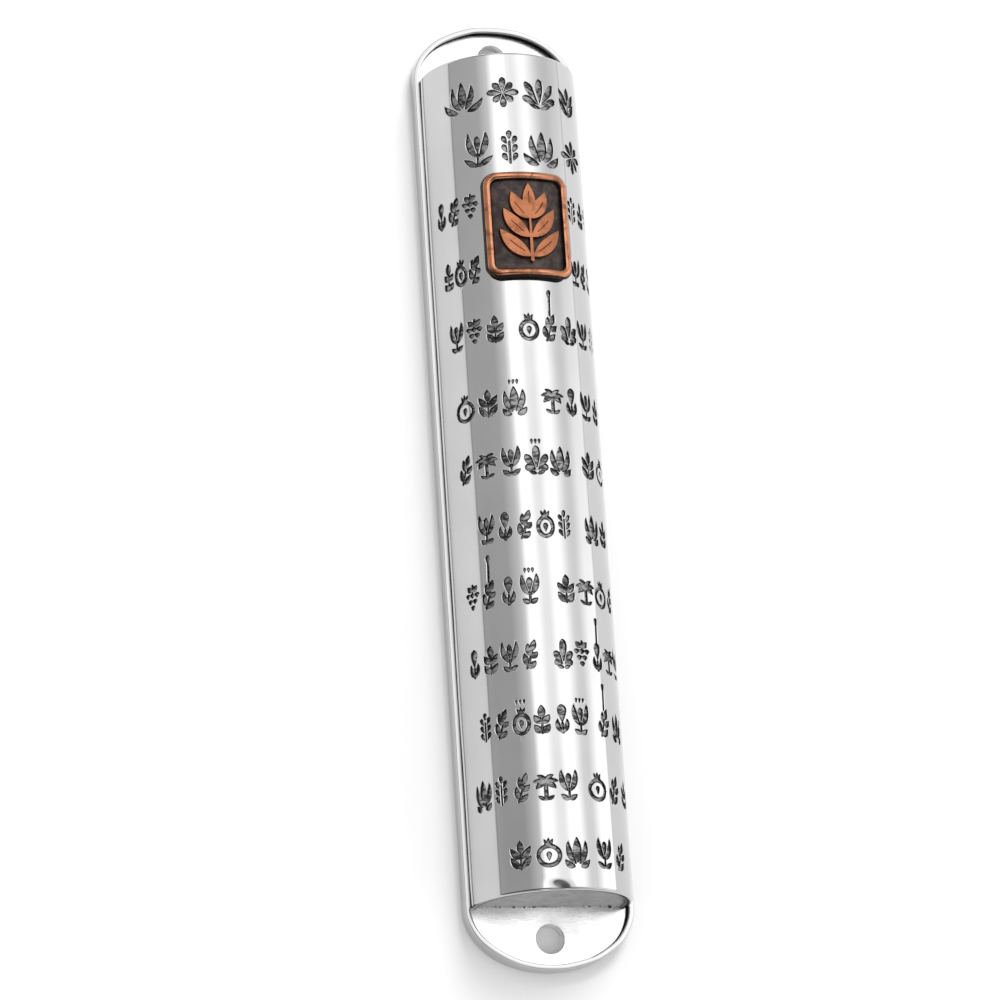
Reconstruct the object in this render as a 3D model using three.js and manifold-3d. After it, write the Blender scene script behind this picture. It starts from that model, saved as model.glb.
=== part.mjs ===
// A mezuzah case lying on its back: a shallow stadium-shaped tray with a screw hole at each end, a U-section
// arch with end caps standing in it, a copper emblem on the arch, a press-in lid in the tray's floor,
// and a rolled parchment in a clear sleeve inside.
// Millimetres. X is across the case, +Y is the end that hangs uppermost, +Z is out of the door post.
// The origin is the middle of the back face.
import * as THREE from "three";
import { mergeVertices } from "three/addons/utils/BufferGeometryUtils.js";
import Module from "manifold-3d";

const wasm = await Module();
wasm.setup();

// ---- driving dimensions ----
const LENGTH = 150; // over the rim
const WIDTH = 26; // over the rim
const END_RISE = 9.3; // how far each elliptical end stands past the straight sides
const FLOOR = 1.6; // base plate
const RIM_THICK = 0.72;
const RIM_HEIGHT = 2.8;
const RIM_ROUND = 0.3; // rounding of the rim's upper edge
const FIT = 0.05; // gap left at a soldered or resting face

const SCREW_HOLE_R = 2.1;
const SCREW_HOLE_Y = 70.1;

const ARCH_R = 12.15; // outside of the half-round
const ARCH_LEG = 1.6; // straight leg under each side of the half-round
const ARCH_SHEET = 0.9;
const ARCH_LENGTH = 131.2;
const CAP_THICK = 0.9;
const CAP_INSET = 0.35; // how far a cap's face lies inside the arch's end

const EMBLEM_Y = 37.2;
const EMBLEM_WIDTH = 13.5;
const EMBLEM_LENGTH = 16.8;
const EMBLEM_CORNER = 2.0;
const EMBLEM_PLATE = 0.7;
const EMBLEM_RELIEF = 0.7; // frame and sprig above the plate
const EMBLEM_FRAME = 1.4; // width of the raised frame
const STUD_R = 0.75;
const STUD_REACH = 1.1; // below the inside of the arch
const STUD_SPACING = 10.4;
const STUD_CLEARANCE = 0.1; // around a stud in its hole
const WASHER_R = 1.9;
const WASHER_THICK = 0.3;

const OPENING_WIDTH = 19; // through the floor, under the arch
const OPENING_LENGTH = 122;
const OPENING_CORNER = 2.5;
const REBATE = 1.25; // ledge around the opening on the back
const REBATE_DEPTH = 0.65;
const LID_GAP = 0.15; // lid to tray, all round
const LID_SKIN = 0.55; // flange that lies in the rebate
const LID_STEP = 0.5; // raised middle that enters the opening
const PRY_NOTCH_R = 2.4; // fingernail notch at the lower end of the rebate
const EAR_LENGTH = 6; // springy ears that grip the opening's long edges
const EAR_THICK = 0.6;
const EAR_RISE = 2.4;
const EAR_PLACES = [-47, -21, 21, 47];

const SLEEVE_R = 5.1;
const SLEEVE_WALL = 0.3;
const SLEEVE_LENGTH = 104;
const ROLL_R = 4.4;
const ROLL_CORE_R = 1.7;
const ROLL_TURNS = 5;
const ROLL_SHEET = 0.34;
const ROLL_LENGTH = 100;

const ARC_STEPS = 48; // along a half circle or half ellipse
const RING_STEPS = 32; // round a small circle

// ---- sizes worked out from the driving ones ----
const ARCH_FOOT = FLOOR + FIT;
const ARCH_AXIS_Z = FLOOR + ARCH_LEG; // height of the half-round's centre
const EMBLEM_R = ARCH_R + FIT; // underside of the emblem
const RELIEF_R = EMBLEM_R + EMBLEM_PLATE + FIT;
const LID_TOP = FIT + LID_SKIN + LID_STEP;
const SLEEVE_Z = LID_TOP + FIT + SLEEVE_R;

// ---- materials ----
const metal = (color, roughness) => new THREE.MeshStandardMaterial({ color, roughness, metalness: 1 });
const SILVER_PLATE = metal(0xd9d9dc, 0.12);
const COPPER = metal(0xc77446, 0.3);
const DARK_COPPER = metal(0x3a302e, 0.5);
const STEEL = metal(0x9a9a9e, 0.35);
const PARCHMENT = new THREE.MeshStandardMaterial({ color: 0xe9dcc0, roughness: 0.8 });
const CLEAR_FILM = new THREE.MeshStandardMaterial({
  color: 0xf2f6f8,
  roughness: 0.1,
  transparent: true,
  opacity: 0.3,
});

// ---- solids from three.js geometry, joined and cut with manifold-3d ----
function solidOf(geometry) {
  const bare = geometry.index ? geometry.toNonIndexed() : geometry.clone();
  bare.deleteAttribute("normal");
  bare.deleteAttribute("uv");
  const merged = mergeVertices(bare, 1e-4);
  return new wasm.Manifold(
    new wasm.Mesh({
      numProp: 3,
      vertProperties: merged.attributes.position.array,
      triVerts: new Uint32Array(merged.index.array),
    }),
  );
}

function geometryOf(solid) {
  const mesh = solid.getMesh();
  const geometry = new THREE.BufferGeometry();
  geometry.setAttribute("position", new THREE.BufferAttribute(new Float32Array(mesh.vertProperties), 3));
  geometry.setIndex(new THREE.BufferAttribute(new Uint32Array(mesh.triVerts), 1));
  return geometry;
}

// A shape drawn in the XY plane, extruded from z = low to z = high.
function slab(shape, low, high, options = {}) {
  const settings = { depth: high - low, bevelEnabled: false, curveSegments: ARC_STEPS, ...options };
  return solidOf(new THREE.ExtrudeGeometry(shape, settings).translate(0, 0, low));
}

// A section drawn as (x, z), extruded along Y and centred at y = middle.
function bar(section, length, middle = 0) {
  const settings = { depth: length, bevelEnabled: false, curveSegments: ARC_STEPS };
  const geometry = new THREE.ExtrudeGeometry(section, settings);
  return solidOf(geometry.rotateX(Math.PI / 2).translate(0, middle + length / 2, 0));
}

// An upright cylinder between two heights.
function post(radius, x, y, low, high, steps = RING_STEPS) {
  const geometry = new THREE.CylinderGeometry(radius, radius, high - low, steps);
  return solidOf(geometry.rotateX(Math.PI / 2).translate(x, y, (low + high) / 2));
}

function block(width, length, low, high, x, y) {
  return solidOf(new THREE.BoxGeometry(width, length, high - low).translate(x, y, (low + high) / 2));
}

// ---- outlines ----
// Straight sides with half-ellipse ends: the case's outline, moved in by inset.
function caseOutline(inset, Kind = THREE.Shape) {
  const half = WIDTH / 2 - inset;
  const rise = END_RISE - inset;
  const straight = LENGTH / 2 - END_RISE;
  const outline = new Kind();
  outline.moveTo(half, -straight);
  outline.lineTo(half, straight);
  outline.absellipse(0, straight, half, rise, 0, Math.PI, false);
  outline.lineTo(-half, -straight);
  outline.absellipse(0, -straight, half, rise, Math.PI, 2 * Math.PI, false);
  return outline;
}

function roundedRectangle(width, length, corner, y = 0, Kind = THREE.Shape) {
  const [right, top] = [width / 2 - corner, length / 2 - corner];
  const outline = new Kind();
  outline.moveTo(right + corner, y - top);
  outline.absarc(right, y + top, corner, 0, Math.PI / 2, false);
  outline.absarc(-right, y + top, corner, Math.PI / 2, Math.PI, false);
  outline.absarc(-right, y - top, corner, Math.PI, 1.5 * Math.PI, false);
  outline.absarc(right, y - top, corner, 1.5 * Math.PI, 2 * Math.PI, false);
  return outline;
}

// The arch's section as (x, z): a half circle of the given radius on two legs that reach down to z = foot.
function archSection(radius, foot) {
  const section = new THREE.Shape();
  section.moveTo(radius, foot);
  section.lineTo(radius, ARCH_AXIS_Z);
  section.absarc(0, ARCH_AXIS_Z, radius, 0, Math.PI, false);
  section.lineTo(-radius, foot);
  return section;
}

// The curved layer between two radii about the arch's axis, long enough to cover the emblem.
function archLayer(inner, outer) {
  const ring = new THREE.Shape();
  ring.absarc(0, ARCH_AXIS_Z, outer, 0, Math.PI, false);
  ring.absarc(0, ARCH_AXIS_Z, inner, Math.PI, 0, true);
  return bar(ring, EMBLEM_LENGTH + 4, EMBLEM_Y);
}

// Cuts an upright slab down to what lies between two radii, so that it follows the arch.
function bentOver(solid, inner, outer) {
  return archLayer(inner, outer).intersect(solid);
}

// ---- tray ----
function basePlate() {
  const inset = RIM_THICK + FIT;
  const screwHoles = [-SCREW_HOLE_Y, SCREW_HOLE_Y].map((y) => post(SCREW_HOLE_R, 0, y, -1, FLOOR + 1));
  const way = roundedRectangle(OPENING_WIDTH, OPENING_LENGTH, OPENING_CORNER);
  const opening = slab(way, -1, FLOOR + 1, { curveSegments: 6 });
  const ledge = roundedRectangle(OPENING_WIDTH + 2 * REBATE, OPENING_LENGTH + 2 * REBATE, OPENING_CORNER);
  const rebate = slab(ledge, -1, REBATE_DEPTH, { curveSegments: 6 });
  const notch = post(PRY_NOTCH_R, 0, -OPENING_LENGTH / 2 - REBATE, -1, REBATE_DEPTH, 24);
  const cuts = [...screwHoles, opening, rebate, notch];
  return cuts.reduce((rest, cut) => rest.subtract(cut), slab(caseOutline(inset), 0, FLOOR));
}

function rimStrip() {
  const below = 2; // the lower rounding lies below the case and is cut off
  const ring = caseOutline(RIM_ROUND);
  ring.holes.push(caseOutline(RIM_THICK - RIM_ROUND, THREE.Path));
  const rounded = {
    bevelEnabled: true,
    bevelSize: RIM_ROUND,
    bevelThickness: RIM_ROUND,
    bevelSegments: 3,
    curveSegments: 32,
  };
  const strip = slab(ring, -below, RIM_HEIGHT - RIM_ROUND, rounded);
  return strip.subtract(block(2 * WIDTH, 2 * LENGTH, -2 * below, 0, 0, 0));
}

// ---- arch and its caps ----
function coverArch() {
  const shell = bar(archSection(ARCH_R, ARCH_FOOT), ARCH_LENGTH);
  const hollow = bar(archSection(ARCH_R - ARCH_SHEET, ARCH_FOOT - 1), ARCH_LENGTH + 2);
  const studHoles = studPlaces().map((y) => post(STUD_R + STUD_CLEARANCE, 0, y, ARCH_AXIS_Z, 2 * ARCH_R));
  return studHoles.reduce((rest, hole) => rest.subtract(hole), shell.subtract(hollow));
}

function endCap(end) {
  const middle = end * (ARCH_LENGTH / 2 - CAP_INSET - CAP_THICK / 2);
  return bar(archSection(ARCH_R - ARCH_SHEET - FIT, ARCH_FOOT), CAP_THICK, middle);
}

// ---- emblem ----
function studPlaces() {
  return [EMBLEM_Y + STUD_SPACING / 2, EMBLEM_Y - STUD_SPACING / 2];
}

function emblemPlate() {
  const outline = roundedRectangle(EMBLEM_WIDTH, EMBLEM_LENGTH, EMBLEM_CORNER, EMBLEM_Y);
  const upright = slab(outline, ARCH_AXIS_Z, 2 * ARCH_R, { curveSegments: 12 });
  return bentOver(upright, EMBLEM_R, EMBLEM_R + EMBLEM_PLATE);
}

function emblemFrame() {
  const ring = roundedRectangle(EMBLEM_WIDTH, EMBLEM_LENGTH, EMBLEM_CORNER, EMBLEM_Y);
  const corner = EMBLEM_CORNER - EMBLEM_FRAME / 2;
  const field = [EMBLEM_WIDTH - 2 * EMBLEM_FRAME, EMBLEM_LENGTH - 2 * EMBLEM_FRAME, corner];
  ring.holes.push(roundedRectangle(...field, EMBLEM_Y, THREE.Path));
  const upright = slab(ring, ARCH_AXIS_Z, 2 * ARCH_R, { curveSegments: 12 });
  return bentOver(upright, RELIEF_R, RELIEF_R + EMBLEM_RELIEF);
}

// An almond-shaped leaf from its foot at (x, y), leaning by angle from +Y.
function leafSolid(x, y, length, width, angle) {
  const leaf = new THREE.Shape();
  leaf.moveTo(0, 0);
  leaf.quadraticCurveTo(width, length * 0.45, 0, length);
  leaf.quadraticCurveTo(-width, length * 0.45, 0, 0);
  const geometry = new THREE.ExtrudeGeometry(leaf, { depth: ARCH_R, bevelEnabled: false, curveSegments: 8 });
  return solidOf(geometry.rotateZ(-angle).translate(x, y, ARCH_AXIS_Z + ARCH_R / 2));
}

// An olive sprig: a stem with three pairs of leaves and one at the tip.
function emblemSprig() {
  const foot = EMBLEM_Y - 6.3;
  const pairs = [
    { rise: 1.4, length: 6.4, lean: 0.8 },
    { rise: 4.5, length: 6.1, lean: 0.7 },
    { rise: 7.4, length: 5.0, lean: 0.55 },
  ];
  const leaves = pairs.flatMap(({ rise, length, lean }) =>
    [-1, 1].map((side) => leafSolid(0, foot + rise - 0.3, length, 2.1, side * lean)),
  );
  const tip = leafSolid(0, foot + 7.6, 5.2, 2.1, 0);
  const stem = leafSolid(0, foot, 10.6, 0.75, 0);
  const sprig = [...leaves, tip].reduce((whole, leaf) => whole.add(leaf), stem);
  return bentOver(sprig, RELIEF_R, RELIEF_R + EMBLEM_RELIEF);
}

function emblemStud(y) {
  const insideZ = ARCH_AXIS_Z + ARCH_R - ARCH_SHEET;
  return post(STUD_R, 0, y, insideZ - STUD_REACH, ARCH_AXIS_Z + ARCH_R, 20);
}

// A push-on washer that grips a stud under the arch, lying across the curve.
function studWasher(y) {
  const inside = ARCH_R - ARCH_SHEET;
  const top = ARCH_AXIS_Z + Math.sqrt(inside ** 2 - WASHER_R ** 2) - FIT;
  const disc = post(WASHER_R, 0, y, top - WASHER_THICK, top, 24);
  return disc.subtract(post(STUD_R + FIT, 0, y, top - 1, top + 1, 20));
}

// ---- lid in the floor ----
function backLid() {
  const [width, length] = [OPENING_WIDTH - 2 * LID_GAP, OPENING_LENGTH - 2 * LID_GAP];
  const skin = roundedRectangle(width + 2 * REBATE, length + 2 * REBATE, OPENING_CORNER);
  const flange = slab(skin, FIT, FIT + LID_SKIN, { curveSegments: 6 });
  const plug = slab(roundedRectangle(width, length, OPENING_CORNER), FIT, LID_TOP, { curveSegments: 6 });
  const earX = width / 2 - EAR_THICK / 2;
  const ears = EAR_PLACES.flatMap((y) =>
    [-earX, earX].map((x) => block(EAR_THICK, EAR_LENGTH, LID_TOP - FIT, LID_TOP + EAR_RISE, x, y)),
  );
  return ears.reduce((whole, ear) => whole.add(ear), flange.add(plug));
}

// ---- parchment and sleeve ----
function scrollSleeve() {
  const ring = new THREE.Shape();
  ring.absarc(0, SLEEVE_Z, SLEEVE_R, 0, 2 * Math.PI, false);
  const bore = new THREE.Path();
  bore.absarc(0, SLEEVE_Z, SLEEVE_R - SLEEVE_WALL, 0, 2 * Math.PI, true);
  ring.holes.push(bore);
  return bar(ring, SLEEVE_LENGTH);
}

// The rolled sheet's section: out along the spiral's outer face, and back along its inner face.
function rollSection() {
  const steps = ROLL_TURNS * 28;
  const pitch = (ROLL_R - ROLL_CORE_R - ROLL_SHEET) / ROLL_TURNS;
  const at = (turn, lift) => {
    const radius = ROLL_CORE_R + pitch * turn + lift;
    const angle = 2 * Math.PI * turn;
    return new THREE.Vector2(radius * Math.cos(angle), SLEEVE_Z + radius * Math.sin(angle));
  };
  const turns = Array.from({ length: steps + 1 }, (_, i) => (ROLL_TURNS * i) / steps);
  return new THREE.Shape([
    ...turns.map((turn) => at(turn, ROLL_SHEET)),
    ...turns.reverse().map((turn) => at(turn, 0)),
  ]);
}

// ---- assembly ----
const mezuzahCase = new THREE.Group();

function place(name, solid, material) {
  const mesh = new THREE.Mesh(geometryOf(solid), material);
  mesh.name = name;
  mezuzahCase.add(mesh);
}

place("base_plate", basePlate(), SILVER_PLATE);
place("rim_strip", rimStrip(), SILVER_PLATE);
place("cover_arch", coverArch(), SILVER_PLATE);
place("cap_top", endCap(1), SILVER_PLATE);
place("cap_bottom", endCap(-1), SILVER_PLATE);

place("emblem_plate", emblemPlate(), DARK_COPPER);
place("emblem_frame", emblemFrame(), COPPER);
place("emblem_sprig", emblemSprig(), COPPER);
["top", "bottom"].forEach((end, i) => {
  place(`emblem_stud_${end}`, emblemStud(studPlaces()[i]), COPPER);
  place(`stud_washer_${end}`, studWasher(studPlaces()[i]), STEEL);
});

place("back_lid", backLid(), SILVER_PLATE);

place("scroll_sleeve", scrollSleeve(), CLEAR_FILM);
place("parchment_roll", bar(rollSection(), ROLL_LENGTH), PARCHMENT);

export default mezuzahCase;
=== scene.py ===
"""The looks of a mezuzah case: a polished half-round arch, engraved with rows of blackened ornament, in a
shallow tray, with a copper emblem, brushed end caps, a press-in back lid and a rolled parchment in a sleeve.

Shapes are worked out in millimetres, in the CAD frame: X across the case, +Y to the upper end, +Z out of the
door post. Numbers that the CAD model also holds are read from its boxes where they can be."""
import math

import bpy
import numpy as np
from mathutils import Matrix, Vector
from mathutils.geometry import delaunay_2d_cdt


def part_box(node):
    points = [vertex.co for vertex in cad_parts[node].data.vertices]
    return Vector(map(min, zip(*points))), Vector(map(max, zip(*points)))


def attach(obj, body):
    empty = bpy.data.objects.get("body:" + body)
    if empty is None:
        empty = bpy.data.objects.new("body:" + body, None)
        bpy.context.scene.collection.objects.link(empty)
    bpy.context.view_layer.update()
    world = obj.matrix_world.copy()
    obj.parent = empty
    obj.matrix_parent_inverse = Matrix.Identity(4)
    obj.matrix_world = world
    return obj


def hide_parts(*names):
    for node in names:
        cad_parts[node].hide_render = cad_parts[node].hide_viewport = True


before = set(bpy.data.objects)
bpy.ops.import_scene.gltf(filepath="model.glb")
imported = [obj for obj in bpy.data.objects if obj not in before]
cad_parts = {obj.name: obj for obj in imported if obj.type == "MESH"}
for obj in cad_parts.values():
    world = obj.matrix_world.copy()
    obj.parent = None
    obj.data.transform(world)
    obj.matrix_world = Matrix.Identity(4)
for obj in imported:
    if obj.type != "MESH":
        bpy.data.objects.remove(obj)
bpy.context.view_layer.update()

MM = 0.001  # one millimetre in Blender's metres


def box_mm(node):
    """A CAD node's lowest and highest corner, in millimetres."""
    low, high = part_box(node)
    return np.array(low) / MM, np.array(high) / MM


def middle_mm(node):
    low, high = box_mm(node)
    return (low + high) / 2


# ---- sizes, from the frame where it has them ----
HALF_WIDTH, HALF_LENGTH, RIM_TOP = box_mm("rim_strip")[1]
END_RISE = 9.3  # how far each elliptical end stands past the straight sides
RIM_THICK = 0.72
FIT = 0.05  # gap at a soldered face
FLOOR_TOP = box_mm("base_plate")[1][2]
HOLE_Y, HOLE_R = 70.1, 2.1  # the screw holes
OPENING, REBATE = (19, 122), (21.5, 124.5)  # in the back, for the parchment and for the lid's flange
OPENING_CORNER = 2.5
LEDGE_Z = 0.65  # how deep the rebate is

ARCH_LOW, ARCH_HIGH = box_mm("cover_arch")
ARCH_R, ARCH_HALF, ARCH_CROWN = ARCH_HIGH
ARCH_FOOT = ARCH_LOW[2]
AXIS_Z = ARCH_CROWN - ARCH_R
ARCH_SHEET = 0.9
QUARTER = math.pi / 2 * ARCH_R  # from the crown down to where a leg starts, along the surface
LEG = AXIS_Z - ARCH_FOOT

EMBLEM_LOW, EMBLEM_HIGH = box_mm("emblem_frame")
EMBLEM_Y = middle_mm("emblem_frame")[1]
EMBLEM_WIDTH, EMBLEM_LENGTH, _ = EMBLEM_HIGH - EMBLEM_LOW
EMBLEM_CORNER = 2.0
EMBLEM_BEAD = 1.3  # width of the raised frame
PLATE_UNDER = ARCH_R + FIT
PLATE_TOP = PLATE_UNDER + 0.7
RELIEF_UNDER = PLATE_TOP + FIT
RELIEF_TOP = RELIEF_UNDER + 0.7


# ---- meshes ----
class Work:
    """A mesh being made: its points, its faces, and the number of each face's material."""

    def __init__(self):
        self.points = []
        self.faces = []
        self.kinds = []

    def ring(self, points):
        """Adds points and returns their numbers."""
        first = len(self.points)
        self.points.extend([float(v) for v in point] for point in points)
        return list(range(first, len(self.points)))

    def face(self, corners, kind=0):
        self.faces.append([int(c) for c in corners])
        self.kinds.append(kind)

    def bridge(self, lower, upper, kind=0, flip=False):
        """Four-sided faces between two closed rings with the same number of points."""
        if flip:
            lower, upper = upper, lower
        for i in range(len(lower)):
            j = (i + 1) % len(lower)
            self.face([lower[i], lower[j], upper[j], upper[i]], kind)

    def skin(self, rings, kind=0, closed=False):
        """Bridges each ring to the next, and the last to the first if closed."""
        for lower, upper in zip(rings, rings[1:]):
            self.bridge(lower, upper, kind)
        if closed:
            self.bridge(rings[-1], rings[0], kind)

    def fill(self, outer, holes=(), axes=(0, 1), flip=False, inner=(), lift=None, kind=0):
        """Fills the region between an outer ring and the hole rings, through the inner (2-D) points."""
        numbers = [n for ring in (outer, *holes) for n in ring]
        numbers += self.ring(lift(np.array(inner))) if len(inner) else []
        flat = np.array([[self.points[n][axes[0]], self.points[n][axes[1]]] for n in numbers])
        _, triangles, origin = plane_mesh(flat, ring_edges([outer, *holes]))
        middles = flat[origin[triangles]].mean(axis=1)
        keep = inside(flat[: len(outer)], middles)
        start = len(outer)
        for hole in holes:
            keep &= ~inside(flat[start : start + len(hole)], middles)
            start += len(hole)
        for triangle in origin[triangles[keep]]:
            corners = [numbers[c] for c in triangle]
            self.face(corners[::-1] if flip else corners, kind)


def ring_edges(rings, start=0):
    """The edges of closed rings whose points are numbered on from start, ring after ring."""
    edges = []
    for ring in rings:
        edges += [(start + i, start + (i + 1) % len(ring)) for i in range(len(ring))]
        start += len(ring)
    return edges


def plane_mesh(flat, edges):
    """Triangles through flat points that keep the edges: places, corners, and each place's input point."""
    result = delaunay_2d_cdt([Vector(p) for p in flat], edges, [], 0, 1e-6)
    places = np.array([(v.x, v.y) for v in result[0]])
    triangles = np.array([list(f) for f in result[2]])
    origin = np.array([ids[0] if ids else -1 for ids in result[3]])
    a, b, c = (places[triangles[:, k]] for k in range(3))
    turned = (b[:, 0] - a[:, 0]) * (c[:, 1] - a[:, 1]) < (b[:, 1] - a[:, 1]) * (c[:, 0] - a[:, 0])
    triangles[turned] = triangles[turned][:, ::-1]
    return places, triangles, origin


def inside(polygon, points):
    """Which points lie inside a polygon."""
    x, y = points[:, 0], points[:, 1]
    found = np.zeros(len(points), bool)
    for (x1, y1), (x2, y2) in zip(polygon, np.roll(polygon, -1, axis=0)):
        if y1 != y2:
            found ^= ((y1 > y) != (y2 > y)) & (x < (x2 - x1) * (y - y1) / (y2 - y1) + x1)
    return found


def new_object(name, data):
    made = bpy.data.objects.new(name, data)
    bpy.context.scene.collection.objects.link(made)
    return made


def new_mesh(name, work, materials):
    """A mesh in Blender's metres from one made in millimetres."""
    mesh = bpy.data.meshes.new(name)
    mesh.from_pydata((np.array(work.points) * MM).tolist(), [], work.faces)
    for material in materials:
        mesh.materials.append(material)
    return mesh


def make_piece(name, work, materials, body, replaced, sharp=35, normals=None):
    """Makes a piece that rides on a body and stands for CAD nodes. Normals, if given, are the corners'."""
    mesh = new_mesh(name, work, materials)
    mesh.polygons.foreach_set("material_index", work.kinds)
    mesh.shade_smooth()
    if normals is None:
        mesh.set_sharp_from_angle(angle=math.radians(sharp))
    else:
        mesh.normals_split_custom_set(normals)
    mesh.validate()
    piece = new_object(name, mesh)
    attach(piece, body)
    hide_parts(*replaced)


# ---- outlines, anticlockwise (x, y) ----
def circle(radius, x=0.0, y=0.0, steps=48):
    turn = np.linspace(0, 2 * math.pi, steps, endpoint=False)
    return np.column_stack([x + radius * np.cos(turn), y + radius * np.sin(turn)])


def case_outline(inset, end_steps=96, side_steps=60):
    """The tray's outline, moved in by inset: straight sides and half-ellipse ends."""
    half, rise, straight = HALF_WIDTH - inset, END_RISE - inset, HALF_LENGTH - END_RISE
    turn = np.linspace(0, math.pi, end_steps + 1)
    top = np.column_stack([half * np.cos(turn), straight + rise * np.sin(turn)])
    side = np.linspace(straight, -straight, side_steps + 1)[1:-1]
    left = np.column_stack([np.full(len(side), -half), side])
    return np.vstack([top, left, -top, -left])


def rounded_rectangle(width, length, corner, y=0.0, corner_steps=10, side_steps=(1, 1)):
    """Side steps are along the ends and along the long sides."""
    right, top = width / 2 - corner, length / 2 - corner
    turn = np.linspace(0, math.pi / 2, corner_steps + 1)
    arc = corner * np.column_stack([np.cos(turn), np.sin(turn)])
    quarter = arc + [right, top]
    mirrored = (arc * [-1, 1])[::-1] + [-right, top]
    across = np.linspace(quarter[-1], mirrored[0], side_steps[0] + 1)[1:-1]
    down = np.linspace(mirrored[-1], mirrored[-1] * [1, -1], side_steps[1] + 1)[1:-1]
    half = np.vstack([quarter, across, mirrored, down])
    return np.vstack([half, -half]) + [0, y]


def at_height(flat, z):
    return np.column_stack([flat, np.full(len(flat), z)])


def over_arch(flat, radius):
    """Lifts (x, y) straight up on to the cylinder of that radius about the arch's axis."""
    return np.column_stack([flat, AXIS_Z + np.sqrt(np.maximum(radius**2 - flat[:, 0] ** 2, 0))])


def grid_points(low, high, spacing):
    across = np.linspace(low[0], high[0], max(2, round((high[0] - low[0]) / spacing) + 1))
    along = np.linspace(low[1], high[1], max(2, round((high[1] - low[1]) / spacing) + 1))
    return np.array([(x, y) for y in along for x in across])


def ripple(a, b, seed, size):
    """A smooth seeded unevenness of about -1 to 1 over two coordinates, with waves about size long."""
    rng = np.random.default_rng(seed)
    total = np.zeros(np.broadcast(a, b).shape)
    for _ in range(6):
        heading, phase = rng.uniform(0, 2 * math.pi, 2)
        rate = 2 * math.pi / size * rng.uniform(0.6, 1.6)
        total = total + np.sin(rate * (a * math.cos(heading) + b * math.sin(heading)) + phase)
    return total / 3


# ---- materials ----
class Nodes:
    """The nodes of a material or world, with short calls for the ones used here."""

    def __init__(self, owner, space):
        owner.use_nodes = True
        self.tree = owner.node_tree
        self.place = self.add("ShaderNodeTexCoord").outputs[space]

    def add(self, kind, **settings):
        node = self.tree.nodes.new(kind)
        for name, value in settings.items():
            setattr(node, name, value)
        return node

    def put(self, socket, value):
        if isinstance(value, bpy.types.NodeSocket):
            self.tree.links.new(value, socket)
        else:
            socket.default_value = value

    def stretched(self, across, along, up):
        """Object coordinates with that many units to a millimetre on each axis."""
        mapping = self.add("ShaderNodeMapping")
        self.put(mapping.inputs["Vector"], self.place)
        mapping.inputs["Scale"].default_value = (across / MM, along / MM, up / MM)
        return mapping.outputs["Vector"]

    def noise(self, size, detail=2.0, rough=0.5, vector=None, warp=0.0):
        """Noise whose blotches are about size millimetres across, or unit-sized in a vector of its own."""
        node = self.add("ShaderNodeTexNoise")
        self.put(node.inputs["Vector"], vector or self.place)
        node.inputs["Scale"].default_value = 1 / size if vector else 1 / (size * MM)
        node.inputs["Detail"].default_value = detail
        node.inputs["Roughness"].default_value = rough
        node.inputs["Distortion"].default_value = warp
        return node.outputs["Fac"]

    def streaks(self, across, along, up, **look):
        """Noise drawn out along an axis, with that many blotches to a millimetre on each."""
        return self.noise(1, vector=self.stretched(across, along, up), **look)

    def spread(self, value, low, high, to_low=0.0, to_high=1.0, easing="SMOOTHSTEP"):
        """Maps low..high of a value to to_low..to_high."""
        node = self.add("ShaderNodeMapRange", interpolation_type=easing)
        self.put(node.inputs["Value"], value)
        limits = {"From Min": low, "From Max": high, "To Min": to_low, "To Max": to_high}
        for socket, number in limits.items():
            node.inputs[socket].default_value = number
        return node.outputs["Result"]

    def math(self, operation, *values):
        node = self.add("ShaderNodeMath", operation=operation)
        for socket, value in zip(node.inputs, values):
            self.put(socket, value)
        return node.outputs[0]

    def mix(self, share, first, second):
        """A colour between two colours."""
        node = self.add("ShaderNodeMix", data_type="RGBA")
        self.put(node.inputs["Factor"], share)
        self.put(node.inputs["A"], (*first, 1) if isinstance(first, tuple) else first)
        self.put(node.inputs["B"], (*second, 1) if isinstance(second, tuple) else second)
        return node.outputs["Result"]

    def ramp(self, share, stops):
        """Brightness by angle, for a share of 0 at -90 degrees and 1 at 90."""
        node = self.add("ShaderNodeValToRGB")
        self.put(node.inputs["Fac"], share)
        marks = node.color_ramp.elements
        while len(marks) < len(stops):
            marks.new(0.5)
        for mark, (angle, brightness) in zip(marks, stops):
            mark.position = angle / 180 + 0.5
            mark.color = (*[brightness / BRIGHTEST] * 3, 1)
        return node.outputs["Color"]


class Surface(Nodes):
    """A material's nodes, which end in its Principled shader."""

    def __init__(self, name):
        self.material = bpy.data.materials.new(name)
        super().__init__(self.material, "Object")
        self.shader = self.tree.nodes["Principled BSDF"]

    def bump(self, *layers):
        """Bumps of (height, depth in millimetres), one over the other."""
        normal = None
        for height, depth in layers:
            node = self.add("ShaderNodeBump")
            node.inputs["Strength"].default_value = 1.0
            node.inputs["Distance"].default_value = depth * MM
            self.put(node.inputs["Height"], height)
            if normal:
                self.put(node.inputs["Normal"], normal)
            normal = node.outputs["Normal"]
        self.put(self.shader.inputs["Normal"], normal)

    def finish(self, color, roughness, metallic=1.0, **others):
        self.put(self.shader.inputs["Base Color"], (*color, 1) if isinstance(color, tuple) else color)
        self.put(self.shader.inputs["Roughness"], roughness)
        self.shader.inputs["Metallic"].default_value = metallic
        for name, value in others.items():
            self.shader.inputs[name.replace("_", " ")].default_value = value
        return self.material


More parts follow.
